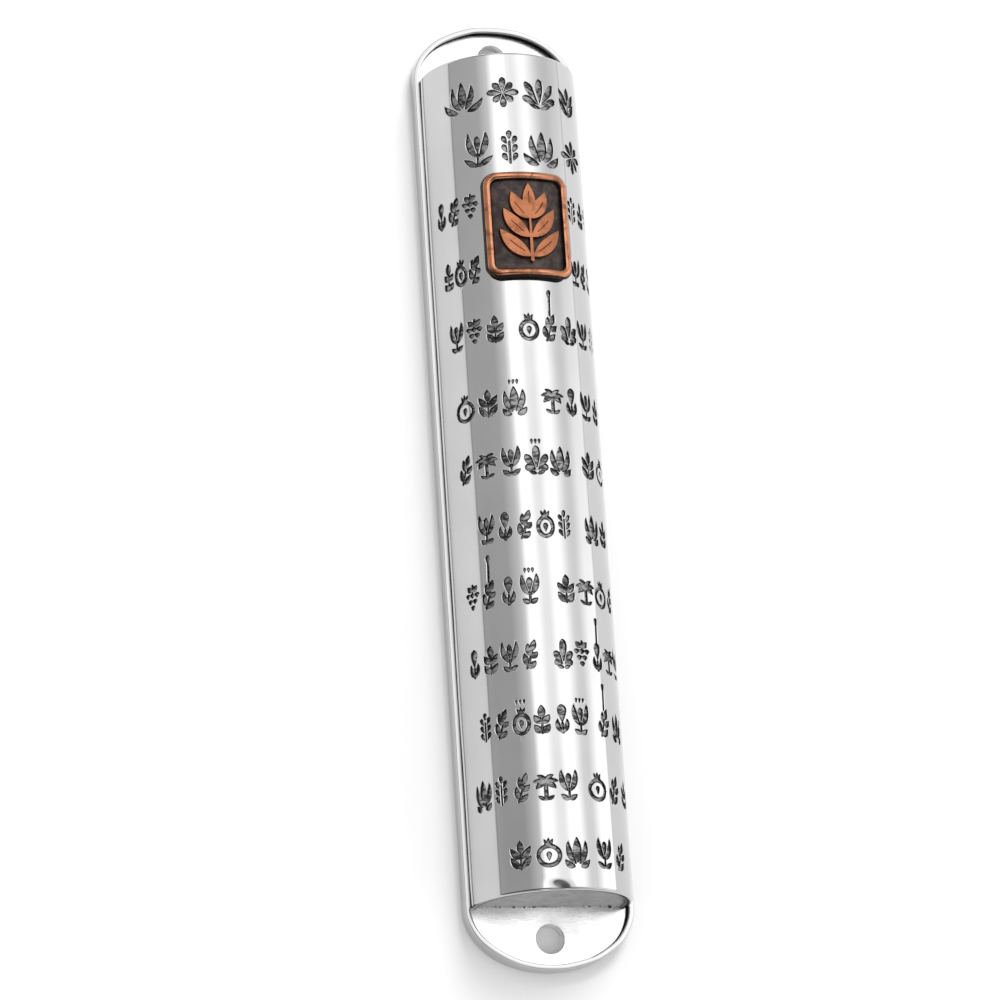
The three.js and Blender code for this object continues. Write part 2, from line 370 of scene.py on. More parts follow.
def polished_plate():
    """Mirror-polished nickel plate: faint clouding, fine lengthwise buffing lines and a few hairlines."""
    n = Surface("polished_plate")
    cloud = n.noise(9, detail=3)
    buffing = n.streaks(14, 0.6, 14, detail=3)
    hairline = n.spread(n.streaks(5, 0.22, 5, detail=2, warp=1.5), 0.68, 0.76)
    color = n.mix(n.spread(cloud, 0.3, 0.7), (0.55, 0.55, 0.555), (0.58, 0.579, 0.577))
    roughness = n.math("ADD", n.spread(cloud, 0.35, 0.75, 0.035, 0.075), n.math("MULTIPLY", hairline, 0.08))
    n.bump((n.noise(2.2, detail=1), 0.0012), (buffing, 0.0003))
    return n.finish(color, roughness)


def floor_plate():
    """The tray's plated floor, rippled like orange peel and dressed down a little towards its ends."""
    n = Surface("floor_plate")
    peel = n.noise(0.9, detail=2, rough=0.55)
    marks = n.streaks(0.8, 6, 6, detail=3, rough=0.6, warp=0.5)
    along = n.add("ShaderNodeSeparateXYZ")
    n.put(along.inputs[0], n.place)
    fall = n.math("MULTIPLY", n.math("ABSOLUTE", along.outputs["Y"]), -1 / MM)
    color = n.mix(n.spread(n.noise(4, detail=3), 0.35, 0.7), (0.78, 0.78, 0.782), (0.86, 0.859, 0.857))
    n.bump((fall, 0.055), (peel, 0.014), (marks, 0.0015))
    return n.finish(color, n.spread(marks, 0.3, 0.7, 0.2, 0.28))


def brushed_plate(name, grain, patchy):
    """Plate over brush marks, lighter and darker in patches where solder was cleaned off."""
    n = Surface(name)
    marks = n.streaks(*grain, detail=4, rough=0.65)
    patch = n.noise(2.2 + 2 * (1 - patchy), detail=3, rough=0.55)
    pits = n.spread(n.noise(0.22, detail=2), 0.64, 0.76)
    dark = 0.57 - 0.13 * patchy
    color = n.mix(n.spread(patch, 0.32, 0.66), (dark, dark, dark + 0.005), (0.6, 0.598, 0.595))
    color = n.mix(n.math("MULTIPLY", pits, patchy), color, (0.25, 0.25, 0.25))
    roughness = n.math("ADD", n.spread(patch, 0.3, 0.7, 0.22, 0.3), n.spread(marks, 0.3, 0.7, 0.0, 0.08))
    n.bump((marks, 0.006), (patch, 0.004 + 0.014 * patchy))
    return n.finish(color, roughness)


def recess_black():
    """Blackening in the engraved ornament's floor, worn thin in streaks so that metal shows through."""
    n = Surface("recess_black")
    streak = n.streaks(0.7, 1.6, 0.7, detail=4, rough=0.6, warp=0.6)
    grain = n.noise(0.13, detail=2)
    worn = n.math("MULTIPLY", n.spread(streak, 0.4, 0.62), n.spread(grain, 0.25, 0.6, 0.6, 1))
    color = n.mix(worn, (0.035, 0.035, 0.037), (0.36, 0.36, 0.365))
    n.bump((grain, 0.006), (streak, 0.02))
    return n.finish(color, n.spread(grain, 0.3, 0.7, 0.28, 0.45), metallic=0.85)


def blackening_and_painted_shade():
    """Near-black. It is blackening on the ornament's steep sides and in the floor's corner along the rim,
    deepened in both as painted shade. It is painted shade on the arch's ends beside the caps and on the rim's
    inner face, and burnt spots on the solder.
    """
    n = Surface("blackening_and_painted_shade")
    grain = n.noise(0.12, detail=2)
    n.bump((grain, 0.006))
    color = n.mix(grain, (0.008, 0.008, 0.009), (0.035, 0.034, 0.034))
    return n.finish(color, n.spread(grain, 0.3, 0.7, 0.4, 0.6), metallic=0.85)


def copper(name, worn_color, stain_color, brushing, polish):
    """Copper brushed across the case, with brown stains that gather in patches."""
    n = Surface(name)
    lines = n.streaks(0.9, 11, 11, detail=4, rough=0.6)
    stain = n.math("MULTIPLY", n.spread(n.noise(1.9, detail=4, rough=0.6, warp=0.5), 0.44, 0.7), 0.7)
    grain = n.noise(0.1, detail=2)
    color = n.mix(stain, worn_color, stain_color)
    color = n.mix(n.spread(lines, 0.5, 0.8, 0, 0.35), color, stain_color)
    n.bump((lines, brushing), (grain, 0.002))
    dulled = n.spread(stain, 0, 0.8, polish, polish + 0.16)
    return n.finish(color, n.math("ADD", dulled, n.spread(lines, 0.3, 0.7, 0, 0.08)))


def oxidised_copper(name, dark, light):
    """Copper blackened and slightly mottled."""
    n = Surface(name)
    mottle = n.noise(1.3, detail=4, rough=0.6)
    grain = n.noise(0.16, detail=3)
    color = n.mix(n.spread(mottle, 0.35, 0.7), dark, light)
    n.bump((grain, 0.01), (mottle, 0.02))
    return n.finish(color, n.spread(grain, 0.3, 0.7, 0.38, 0.55), metallic=0.75)


def spring_steel():
    """Satin stamped steel."""
    n = Surface("spring_steel_satin")
    grain = n.streaks(2, 9, 9, detail=3)
    color = n.mix(n.noise(1.1, detail=3), (0.42, 0.42, 0.43), (0.58, 0.58, 0.585))
    n.bump((grain, 0.003))
    return n.finish(color, n.spread(grain, 0.3, 0.7, 0.25, 0.4))


def clear_film():
    """Thin clear plastic with faint haze and handling marks."""
    n = Surface("clear_film_plastic")
    haze = n.noise(7, detail=3)
    marks = n.streaks(4, 0.4, 4, detail=3)
    color = n.mix(n.spread(haze, 0.3, 0.7), (0.93, 0.95, 0.955), (0.98, 0.99, 0.99))
    n.bump((haze, 0.02), (marks, 0.002))
    clear = {"Transmission_Weight": 1.0, "IOR": 1.2}
    return n.finish(color, n.spread(marks, 0.4, 0.75, 0.03, 0.12), metallic=0.0, **clear)


def parchment():
    """Cream skin parchment: cloudy tone, fine follicle specks and a soft nap."""
    n = Surface("parchment_skin")
    cloud = n.noise(8, detail=4, rough=0.6, warp=0.7)
    fibre = n.streaks(1.2, 5, 1.2, detail=4, rough=0.65)
    speck = n.spread(n.noise(0.35, detail=2), 0.66, 0.76)
    color = n.mix(n.spread(cloud, 0.3, 0.7), (0.86, 0.78, 0.62), (0.74, 0.64, 0.47))
    color = n.mix(n.spread(fibre, 0.5, 0.8, 0, 0.5), color, (0.92, 0.86, 0.73))
    color = n.mix(n.math("MULTIPLY", speck, 0.5), color, (0.55, 0.43, 0.28))
    n.bump((cloud, 0.05), (fibre, 0.02))
    glow = {"Subsurface_Weight": 0.15, "Subsurface_Radius": (MM, 0.7 * MM, 0.4 * MM)}
    return n.finish(color, n.spread(fibre, 0.3, 0.7, 0.62, 0.8), metallic=0.0, **glow)


PLATE = polished_plate()
FLOOR_PLATE = floor_plate()
BRUSHED = brushed_plate("brushed_plate", (0.5, 7, 7), 1.0)
LONG_BRUSHED = brushed_plate("brushed_back", (9, 0.35, 9), 0.12)
RECESS = recess_black()
# near-black: partly blackening, partly painted shade (see its docstring)
BLACKENING_AND_SHADE = blackening_and_painted_shade()
COPPER_BEAD = copper("copper_bead", (0.57, 0.245, 0.135), (0.1, 0.033, 0.017), 0.002, 0.07)
COPPER_FLAT = copper("copper_flat", (0.4, 0.155, 0.078), (0.22, 0.085, 0.045), 0.004, 0.24)
DARK_COPPER = oxidised_copper("oxidised_copper", (0.035, 0.026, 0.024), (0.085, 0.065, 0.06))
# near-black copper for the emblem's edges: oxide, and painted shade for the dark sides of the bead and plate
COPPER_EDGE_OXIDE_AND_SHADE = oxidised_copper("copper_edge_oxide_and_painted_shade", (0.013, 0.008, 0.007), (0.032, 0.019, 0.015))
STEEL = spring_steel()
FILM = clear_film()
SKIN = parchment()


# ---- strokes: the ornament's and the emblem's drawing ----
# A stroke is a centre line and its half-widths, which fall to nothing at both ends.
STROKE_STEPS = 40
ALONG = np.linspace(0, 1, STROKE_STEPS)


def stroke(points, widths):
    return np.array(points, float), np.array(widths, float) / 2


def blunt(width, length):
    """Half-round ends for a band of even width."""
    end = min(0.5, width / max(length, 1e-6) / 2)
    past = np.maximum(0, np.abs(2 * ALONG - 1) - (1 - 2 * end)) / (2 * end)
    return width * np.sqrt(np.maximum(0, 1 - past**2))


def walk(x, y, aim, length, bend):
    """A line from (x, y), heading aim radians to the right of +Y, that turns by bend in all."""
    heading = aim + bend * (ALONG[1:] + ALONG[:-1]) / 2
    steps = np.column_stack([np.sin(heading), np.cos(heading)]) * length / (STROKE_STEPS - 1)
    return np.vstack([[0, 0], np.cumsum(steps, axis=0)]) + [x, y]


def leaf(x, y, aim, length, width, bend=0.0):
    """Pointed at both ends, fullest a little before the middle."""
    return stroke(walk(x, y, aim, length, bend), width * np.sin(math.pi * ALONG**0.85) ** 0.85)


def drop(x, y, aim, length, width, bend=0.0):
    """Starts pointed and ends full and round."""
    return stroke(walk(x, y, aim, length, bend), width * np.sin(math.pi * ALONG**1.9) ** 0.6)


def stem(x, y, aim, length, width, bend=0.0):
    return stroke(walk(x, y, aim, length, bend), blunt(width, length))


def hoop(x, y, across, up, width):
    """An oval ring, as two half rings that overlap at their ends."""
    lap = 0.15
    halves = []
    for start in (-lap, math.pi - lap):
        turn = np.linspace(start, start + math.pi + 2 * lap, STROKE_STEPS)
        line = np.column_stack([x + across * np.cos(turn), y + up * np.sin(turn)])
        halves.append(stroke(line, blunt(width, math.pi * (across + up) / 2)))
    return halves


def mirrored(strokes):
    return strokes + [(line * [-1, 1], half) for line, half in strokes]


def moved(strokes, x, y):
    return [(line + [x, y], half) for line, half in strokes]


# Each motif fills a cell from -w to w and from 0 to h. Bold parts are about a fifth of the height wide.
def sprig(w, h):
    reach = w / math.sin(0.95)
    leaves = [leaf(0.05, rise * h, 0.95, reach, 0.23 * h, -0.5) for rise in (0.06, 0.38)]
    return mirrored(leaves) + [leaf(0, 0.56 * h, 0, 0.44 * h, 0.25 * h), stem(0, 0, 0, 0.7 * h, 0.07 * h)]


def tulip(w, h):
    petal = leaf(0.06 * w, 0.3 * h, 0.75, 0.8 * h, 0.2 * h, -0.95)
    low = leaf(0, 0.02 * h, 1.15, 0.95 * w, 0.17 * h, -0.3)
    middle = drop(0, 0.36 * h, 0, 0.55 * h, 0.2 * h)
    return mirrored([petal, low]) + [middle, stem(0, 0, 0, 0.42 * h, 0.08 * h)]


def ear(w, h):
    grains = [drop(0.055 * h, rise * h, 0.6, 0.3 * h, 0.14 * h, -0.3) for rise in (0.07, 0.32, 0.57)]
    return mirrored(grains) + [drop(0, 0.72 * h, 0, 0.28 * h, 0.15 * h), stem(0, 0, 0, 0.7 * h, 0.06 * h)]


def bud(w, h):
    sepal = leaf(0.02, 0.06 * h, 0.95, 0.52 * h, 0.17 * h, -1.3)
    return mirrored([sepal]) + [drop(0, 0.34 * h, 0, 0.66 * h, 0.3 * h), stem(0, 0, 0, 0.4 * h, 0.09 * h)]


def lotus(w, h):
    high = leaf(0.1 * w, 0.1 * h, 0.8, 0.86 * h, 0.21 * h, -1.0)
    low = leaf(0.2 * w, 0.02 * h, 1.5, 0.98 * w, 0.21 * h, -1.1)
    return mirrored([high, low]) + [leaf(0, 0.14 * h, 0, 0.86 * h, 0.3 * h)]


def grapes(w, h):
    size = 0.2 * h
    leaves = mirrored([leaf(0.02, 0.76 * h, 1.15, min(0.9 * w, 0.42 * h), 0.2 * h, -0.5)])
    bunch = ((0.6, (-1.05, 0, 1.05)), (0.39, (-0.55, 0.55)), (0.18, (0,)))
    berries = [drop(x * size, y * h - size / 2, 0, size, size) for y, row in bunch for x in row]
    return leaves + berries + [stem(0, 0.7 * h, 0.1, 0.3 * h, 0.09 * h)]


def palm(w, h):
    aims_and_sizes = ((0.1, 0.44), (0.75, 0.46), (1.4, 0.4))
    fronds = [leaf(0.02, 0.56 * h, aim, size * h, 0.17 * h, 1.3) for aim, size in aims_and_sizes]
    foot = leaf(0.04, 0.04 * h, 1.3, 0.3 * h, 0.12 * h, -0.4)
    return mirrored([*fronds, foot]) + [stem(0, 0, 0, 0.6 * h, 0.13 * h)]


def spray(w, h):
    left = [leaf(x * w, y * h, -0.4, 0.44 * h, 0.2 * h, 0.5) for x, y in ((-0.4, 0.14), (-0.05, 0.46))]
    right = [leaf(-0.35 * w, 0.06 * h, 1.25, 1.1 * w, 0.21 * h, -0.7)]
    right += [leaf(0, 0.4 * h, 1.25, 0.9 * w, 0.21 * h, -0.7)]
    stalk = stem(-0.5 * w, 0, 0.45, 0.72 * h, 0.08 * h, -0.3)
    return left + right + [stalk, leaf(0.1 * w, 0.6 * h, 0.3, 0.42 * h, 0.2 * h)]


def rosette(w, h):
    petals = []
    for turn in range(8):
        aim = turn * math.pi / 4
        reach = 1 / math.hypot(math.sin(aim) / w, math.cos(aim) / (h / 2))
        petals.append(drop(0, h / 2, aim, reach * (1.0 if turn % 2 == 0 else 0.86), 0.19 * h))
    return petals


def pomegranate(w, h):
    across = min(0.8 * w, 0.36 * h)
    tips = [leaf(0, 0.68 * h, aim, 0.32 * h, 0.11 * h) for aim in (-0.5, 0, 0.5)]
    seed_and_foot = [drop(0, 0.22 * h, 0, 0.32 * h, 0.17 * h), stem(0, 0, 0, 0.12 * h, 0.12 * h)]
    return hoop(0, 0.4 * h, across, 0.32 * h, 0.13 * h) + tips + seed_and_foot


def palmette(w, h):
    petals = []
    for aim in (0.62, 1.24):
        reach = min(0.84 * h / math.cos(aim), 0.96 * w / math.sin(aim))
        petals.append(drop(0.05 * w, 0.14 * h, aim, min(reach, 0.86 * h), 0.23 * h, -0.12))
    foot = leaf(0.02, 0.02 * h, 1.35, 0.75 * w, 0.13 * h, -0.35)
    return mirrored([*petals, foot]) + [drop(0, 0.14 * h, 0, 0.86 * h, 0.25 * h)]


DRAWINGS = (sprig, tulip, ear, bud, lotus, grapes, palm, spray, rosette, pomegranate, palmette)
MOTIFS = {drawing.__name__: drawing for drawing in DRAWINGS}


def finial(h):
    """A thin stalk with a bud, standing above a motif."""
    return [stem(0, 0.9 * h, 0.04, 0.75 * h, 0.09 * h), drop(0.03, 1.5 * h, 0.05, 0.35 * h, 0.17 * h)]


def crown(h):
    """Three small tips above a motif."""
    return [drop(x * h, 1.04 * h, 0, 0.2 * h, 0.09 * h) for x in (-0.13, 0, 0.13)]


# Rows of ornament: y of the middle, height, and groups of (left edge, right edge, motifs). The edges are
# distances round the arch from its crown. ^ puts a finial on a motif, and * a crown.
ROWS = [
    (59, 5, [(-12.5, -5.5, "lotus"), (-5, 0, "rosette"), (0.5, 6.5, "palmette"), (7, 12.5, "sprig")]),
    (50, 5.5, [(-10, -4, "tulip"), (-3.5, -0.5, "ear"), (0, 6.5, "lotus"), (7, 13, "rosette")]),
    (41, 4.5, [(-16, -7.5, "bud spray grapes"), (7.5, 16, "ear sprig grapes")]),
    (31, 4.5, [(-15, -7.5, "sprig pomegranate spray"), (7.5, 15, "tulip spray bud")]),
    (21, 4.5, [(-14.5, -4.5, "tulip grapes sprig"), (-2.5, 14.5, "pomegranate spray^ palmette tulip ear")]),
    (9.5, 4.5, [(-14, -2, "pomegranate sprig lotus*"), (0.5, 14, "palm bud tulip sprig")]),
    (0, 4.5, [(-14.5, 4.5, "spray palm tulip palmette* lotus"), (6.5, 14.5, "sprig pomegranate")]),
    (-10, 4.5, [(-11, 4, "tulip bud spray pomegranate ear"), (6.5, 13.5, "lotus sprig")]),
    (-20, 4.5, [(-14.5, -2, "grapes spray^ bud tulip*"), (0.5, 14.5, "sprig palm pomegranate spray")]),
    (-30, 4.5, [(-15, -2.5, "bud sprig tulip spray"), (-0.5, 15, "palmette grapes bud^ palm tulip")]),
    (-40, 4.5, [(-13.5, 4.5, "ear spray pomegranate* sprig bud tulip*"), (6, 13.5, "spray^ lotus")]),
    (-50, 4.5, [(-15, 2, "lotus ear spray palm tulip"), (3.5, 15, "pomegranate spray sprig")]),
    (-60, 4.5, [(-9.5, 3, "sprig pomegranate lotus"), (4, 11.5, "tulip spray")]),
]
MOTIF_GAP = 0.25
WEIGHT = 1.07  # how much bolder the strokes are cut than drawn


def ornament():
    """All strokes of the arch's ornament, as (distance round from the crown, y)."""
    strokes = []
    for middle, height, groups in ROWS:
        for left, right, names in groups:
            words = names.split()
            pitch = (right - left + MOTIF_GAP) / len(words)
            for i, word in enumerate(words):
                parts = MOTIFS[word.strip("^*")]((pitch - MOTIF_GAP) / 2, height)
                parts += finial(height) if "^" in word else []
                parts += crown(height) if "*" in word else []
                parts = [(line, half * WEIGHT) for line, half in parts]
                strokes += moved(parts, left - MOTIF_GAP / 2 + pitch * (i + 0.5), middle - height / 2)
    return strokes


def stroke_depth(strokes, places):
    """How far each place lies inside the strokes: above 0 inside, below 0 outside."""
    deepest = np.full(len(places), -10.0)
    for line, half in strokes:
        margin = half.max() + 0.5
        near = ((places > line.min(axis=0) - margin) & (places < line.max(axis=0) + margin)).all(axis=1)
        numbers = np.flatnonzero(near)
        if not len(numbers):
            continue
        start, step = line[:-1], np.diff(line, axis=0)
        to_place = places[numbers][:, None, :] - start[None]
        share = np.clip((to_place * step).sum(-1) / np.maximum((step**2).sum(-1), 1e-12), 0, 1)
        apart = np.linalg.norm(to_place - share[..., None] * step, axis=-1)
        nearest = apart.argmin(axis=1)
        rows = np.arange(len(numbers))
        width = half[nearest] + share[rows, nearest] * (half[nearest + 1] - half[nearest])
        deepest[numbers] = np.maximum(deepest[numbers], width - apart[rows, nearest])
    return deepest


def contour(line, half, inset, spacing):
    """The closed line that lies inset inside a stroke's edge, or outside it for a negative inset."""
    wide = np.flatnonzero(half >= inset)
    if len(wide) < 3:
        return None
    first, last = wide[0], wide[-1]
    arc = np.concatenate([[0], np.cumsum(np.linalg.norm(np.diff(line, axis=0), axis=1))])
    low, high = arc[first], arc[last]
    if first > 0:
        low = np.interp(inset, half[first - 1 : first + 1], arc[first - 1 : first + 1])
    if last < len(half) - 1:
        high = np.interp(-inset, -half[last : last + 2], arc[last : last + 2])
    count = max(5, int((high - low) / spacing) + 4)
    at = low + (high - low) * (1 - np.cos(np.linspace(0, math.pi, count))) / 2
    middle = np.column_stack([np.interp(at, arc, line[:, k]) for k in (0, 1)])
    tangent = np.column_stack([np.interp(at, arc, np.gradient(line[:, k], arc)) for k in (0, 1)])
    tangent /= np.linalg.norm(tangent, axis=1)[:, None]
    out = np.maximum(np.interp(at, arc, half) - inset, 0)[:, None] * tangent[:, ::-1] * [1, -1]
    pointed = inset >= 0
    other = (middle - out)[::-1]
    return np.vstack([middle + out, other[1:-1] if pointed else other])


def contours(strokes, insets, spacing):
    """Every stroke's contours at those insets, where it is wide enough to have them."""
    lines = [contour(line, half, inset, spacing) for line, half in strokes for inset in insets]
    return [line for line in lines if line is not None]


# ---- the arch ----
SHOULDER = [(-0.07, 0.0), (0.01, 0.05), (0.13, 0.28)]  # distance inside a stroke's edge, and depth there
ENGRAVED = SHOULDER[-1][1]
EDGE_ROUND = 0.42
ROLL_OFF = 4.5  # polishing rounds the arch off over this distance from each end
ROLL_DROP = 0.05
WAVE = 0.012
DIMPLE_S = -2.4  # the lower end's edge is dressed down a little more beside the crown
DIMPLE_LENGTH = 2.0
DIMPLE_DROP = 0.33


def arch_surface(s, y):
    """How far the polished surface stands in from the true arch, for distances round and along it."""
    from_end = np.maximum(0, 1 - (ARCH_HALF - np.abs(y)) / ROLL_OFF)
    from_lower = np.maximum(0, 1 - (ARCH_HALF + y) / DIMPLE_LENGTH)
    across = np.exp(-((s - DIMPLE_S - 0.8 * from_lower) ** 2) / 2.2)
    dimple = DIMPLE_DROP * across * from_lower**2 * (2 - from_lower**2)
    return ROLL_DROP * from_end**2 + dimple + WAVE * ripple(s, y * 0.45, 11, 11)


def on_arch(s, y, depth):
    """A point at distance s round from the crown, depth in from the arch's outer face."""
    turn = np.clip(s, -QUARTER, QUARTER) / ARCH_R
    radius = ARCH_R - depth
    below = np.maximum(np.abs(s) - QUARTER, 0)
    return np.column_stack([radius * np.sin(turn), y, AXIS_Z + radius * np.cos(turn) - below])


def arch_normals(s, y):
    """The polished surface's normals."""
    step = 0.05
    slope_s = (arch_surface(s + step, y) - arch_surface(s - step, y)) / (2 * step)
    slope_y = (arch_surface(s, y + step) - arch_surface(s, y - step)) / (2 * step)
    turn = np.clip(s, -QUARTER, QUARTER) / ARCH_R
    out = np.column_stack([np.sin(turn), np.zeros_like(turn), np.cos(turn)])
    around = np.column_stack([np.cos(turn), np.zeros_like(turn), -np.sin(turn)])
    normals = out + slope_s[:, None] * around + slope_y[:, None] * [0, 1, 0]
    return normals / np.linalg.norm(normals, axis=1)[:, None]


def arch_edges():
    """The grid lines round and along the arch, and its rectangle's outline as (s, y)."""
    arc = np.linspace(-QUARTER, QUARTER, 97)
    legs = np.array([0.5, 1.0]) * LEG
    columns = np.concatenate([-QUARTER - legs[::-1], arc, QUARTER + legs])
    end = ARCH_HALF - EDGE_ROUND
    rows = np.linspace(-end, end, 125)
    low = [(s, rows[0]) for s in columns]
    right = [(columns[-1], y) for y in rows[1:-1]]
    high = [(s, rows[-1]) for s in columns[::-1]]
    left = [(columns[0], y) for y in rows[-2:0:-1]]
    return columns, rows, np.array(low + right + high + left)


def make_arch():
    strokes = ornament()
    columns, rows, outline = arch_edges()
    grid = np.array([(s, y) for y in rows[1:-1] for s in columns[1:-1]])
    near_end = np.linspace(rows[0], rows[1] + 1.0, 9)[1:-1]
    dimple = [(s, y) for y in near_end for s in columns[30:-30] if abs(y - rows[1]) > 0.05]
    grid = np.vstack([grid, dimple])
    grid = grid[stroke_depth(strokes, grid) < SHOULDER[0][0] - 0.06]
    rings = contours(strokes, [inset for inset, _ in SHOULDER], 0.3)
    edges = ring_edges([outline]) + ring_edges(rings, len(outline) + len(grid))
    places, triangles, origin = plane_mesh(np.vstack([outline, grid, *rings]), edges)
    inner = stroke_depth(strokes, places)
    cut = np.interp(inner, *zip(*SHOULDER))
    s, y = places.T
    cut = np.where(cut > ENGRAVED - 1e-6, ENGRAVED + 0.02 * ripple(s, y, 5, 1.5), cut)
    work = Work()
    work.ring(on_arch(s, y, cut + arch_surface(s, y)))
    levels = inner[triangles]
    plate = (levels < SHOULDER[0][0] + 0.01).all(axis=1)
    ground = (levels > SHOULDER[2][0] - 0.01).all(axis=1)
    lip = (levels < SHOULDER[1][0] + 0.01).all(axis=1) & ~plate
    # the strokes' steep sides take the near-black: blackening, deepened as painted shade for their dark
    # outlines
    kinds = np.where(plate | lip, 0, np.where(ground, 1, 2))
    for triangle, kind in zip(triangles, kinds):
        work.face(triangle, kind)
    close_arch(work, outline, origin, columns, rows)
    normals = arch_corner_normals(work, plate | ground, arch_normals(s, y))
    materials = [PLATE, RECESS, BLACKENING_AND_SHADE, BRUSHED]
    make_piece("arch_shell", work, materials, "case", ["cover_arch"], normals=normals)


def close_arch(work, outline, origin, columns, rows):
    """Rounds the outer patch's edge over, and adds the ends, the feet and the inside."""
    where = {int(o): i for i, o in enumerate(origin) if 0 <= o < len(outline)}
    first = [where[i] for i in range(len(outline))]
    s, y = outline.T
    steps = np.linspace(0, math.pi / 2, 5)[1:]
    turns = [(EDGE_ROUND * math.sin(a), EDGE_ROUND * (1 - math.cos(a))) for a in steps]
    rings = [first]
    drop_here = arch_surface(s, y)
    face = [(EDGE_ROUND, ARCH_SHEET - 0.32), (EDGE_ROUND, ARCH_SHEET - 0.1), (EDGE_ROUND - 0.1, ARCH_SHEET)]
    for reach, depth in turns + face:
        long = y * (1 + reach / rows[-1])
        rings.append(work.ring(on_arch(s, long, depth + drop_here * (1 - depth / ARCH_SHEET))))
    polished = len(turns) + 1  # the rest of the end is painted black as shade, for the dark gap beside the cap
    for k, (outer, deeper) in enumerate(zip(rings, rings[1:])):
        work.bridge(deeper, outer, 0 if k < polished else 2)
    # the inside, as a grid whose outer points are the last ring
    ring = iter(rings[-1])
    number = {}
    for place in outline:
        number[tuple(np.round(place, 6))] = next(ring)
    grow = 1 + (EDGE_ROUND - 0.1) / rows[-1]
    for along in rows[1:-1]:
        new = work.ring(on_arch(columns[1:-1], np.full(len(columns) - 2, along * grow), ARCH_SHEET))
        number.update({tuple(np.round((c, along), 6)): n for c, n in zip(columns[1:-1], new)})
    for low, high in zip(rows, rows[1:]):
        for left, right in zip(columns, columns[1:]):
            corners = [(left, low), (left, high), (right, high), (right, low)]
            work.face([number[tuple(np.round(c, 6))] for c in corners], 3)


def arch_corner_normals(work, smooth, at_points):
    """Normals for each face's corners: the true surface's on the plate, each face's own on steep sides."""
    points = np.array(work.points)
    normals = []
    for number, face in enumerate(work.faces):
        if number < len(smooth) and smooth[number]:
            normals += [tuple(at_points[c]) for c in face]
        elif number < len(smooth):
            a, b, c = points[face]
            across = np.cross(b - a, c - a)
            size = np.linalg.norm(across)
            normals += [tuple(across / size) if size > 1e-12 else (0, 0, 0)] * 3
        else:
            normals += [(0, 0, 0)] * len(face)
    return normals


# ---- the tray ----
def make_tray_floor():
    """The base plate, with eased screw holes, the opening in the back, its rebate and a fingernail notch."""
    opening = rounded_rectangle(*OPENING, OPENING_CORNER, corner_steps=8, side_steps=(6, 24))
    inset = RIM_THICK + FIT
    work = Work()
    edge, low = (work.ring(at_height(case_outline(inset), z)) for z in (FLOOR_TOP, 0))
    work.bridge(low, edge)
    narrow, wide = case_outline(inset + 0.14), case_outline(inset + 0.3)
    share = 0.5 + 0.5 * ripple(*narrow.T, 91, 9)
    top = work.ring(at_height(narrow + (wide - narrow) * share[:, None], FLOOR_TOP))
    work.bridge(edge, top, 2)  # a dark band in the corner along the rim: painted shade, with some blackening
    upper_rings, lower_rings = [], []
    # how far a hole's wall stands out from its radius, and how deep that is
    sections = [(0.32, 0), (0.14, 0.03), (0.04, 0.12), (0, 0.28), (0, FLOOR_TOP - 0.12), (0.12, FLOOR_TOP)]
    for y in (-HOLE_Y, HOLE_Y):
        levels = [at_height(circle(HOLE_R + out, 0, y, 64), FLOOR_TOP - down) for out, down in sections]
        rings = [work.ring(level) for level in levels]
        work.skin(rings)
        upper_rings.append(rings[0])
        lower_rings.append(rings[-1])
    mouth, throat = (work.ring(at_height(opening, z)) for z in (FLOOR_TOP, LEDGE_Z))
    work.bridge(mouth, throat)
    ledge, foot = (work.ring(at_height(rebate_outline(), z)) for z in (LEDGE_Z, 0))
    work.bridge(ledge, foot)
    work.fill(top, [*upper_rings, mouth])
    work.fill(low, [*lower_rings, foot], flip=True, kind=1)
    work.fill(ledge, [throat], flip=True, kind=1)
    materials = [FLOOR_PLATE, LONG_BRUSHED, BLACKENING_AND_SHADE]
    make_piece("tray_floor", work, materials, "case", ["base_plate"], sharp=28)


def rebate_outline():
    """The rebate round the opening on the back, with a round notch at its lower end for a fingernail."""
    notch_r = 2.4
    rebate = rounded_rectangle(*REBATE, OPENING_CORNER, corner_steps=8, side_steps=(1, 24))
    bottom = rebate[:, 1].min()
    turn = np.linspace(math.pi, 2 * math.pi, 19)
    notch = np.column_stack([notch_r * np.cos(turn), bottom + notch_r * np.sin(turn)])
    on_bottom = np.flatnonzero(np.isclose(rebate[:, 1], bottom))
    split = on_bottom[0] + 1
    return np.vstack([rebate[:split], notch, rebate[split:]])


